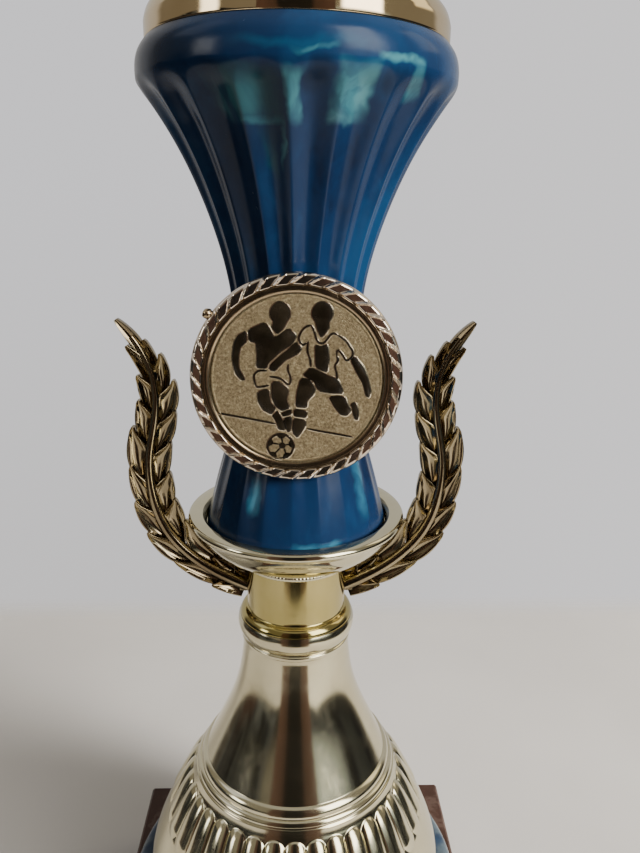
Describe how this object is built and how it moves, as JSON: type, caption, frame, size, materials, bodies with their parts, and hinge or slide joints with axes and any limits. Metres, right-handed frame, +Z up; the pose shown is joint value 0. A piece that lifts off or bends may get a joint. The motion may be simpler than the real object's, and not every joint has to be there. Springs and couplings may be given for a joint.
{
  "type": "column trophy",
  "caption": "Column trophy: marble block, gold bell, waisted fluted blue column, round medallion on the front, a laurel branch on each side and a domed cap with a finial.",
  "frame": {"origin": "centre of the underside, where the felt meets the surface", "axes": "+Z up along the threaded rod, the medallion faces -Y, the laurel branches spread along X"},
  "size_m": [0.144, 0.144, 0.424],
  "materials": {
    "marble": "polished",
    "felt": "matte felt",
    "steel": "zinc plated",
    "foam": "closed-cell foam",
    "blue_plastic": "glossy, marbled with teal",
    "white_plastic": "moulded",
    "champagne_gold": "mirror",
    "yellow_gold": "mirror",
    "bronze_gold": "metallised",
    "emblem_gold": "stamped, fine grain",
    "adhesive": "foam tape"
  },
  "bodies": {
    "root": {"base_felt": "felt", "marble_base": "marble", "base_washer": "steel", "base_nut": "steel", "threaded_rod": "steel", "foot_gasket": "foam", "foot_ring": "blue_plastic", "bell_riser": "champagne_gold", "neck_collar": "yellow_gold", "wreath_arm_left": "bronze_gold", "wreath_arm_right": "bronze_gold", "column_dish": "champagne_gold", "column": "blue_plastic", "centring_disc": "white_plastic", "dome_cap": "yellow_gold", "top_washer": "steel", "top_nut": "steel", "finial_collar": "yellow_gold", "finial": "yellow_gold", "finial_insert": "yellow_gold"},
    "medallion": {"medallion_holder": "bronze_gold", "medallion_stem": "bronze_gold", "stem_retainer": "steel", "adhesive_pad": "adhesive", "medallion_insert": "emblem_gold"}
  },
  "joints": [
    {"name": "medallion_turn", "type": "hinge", "parent": "root", "child": "medallion", "pos_m": [0, -0.0246, 0.266], "axis": [0, -1, 0], "continuous": true}
  ]
}
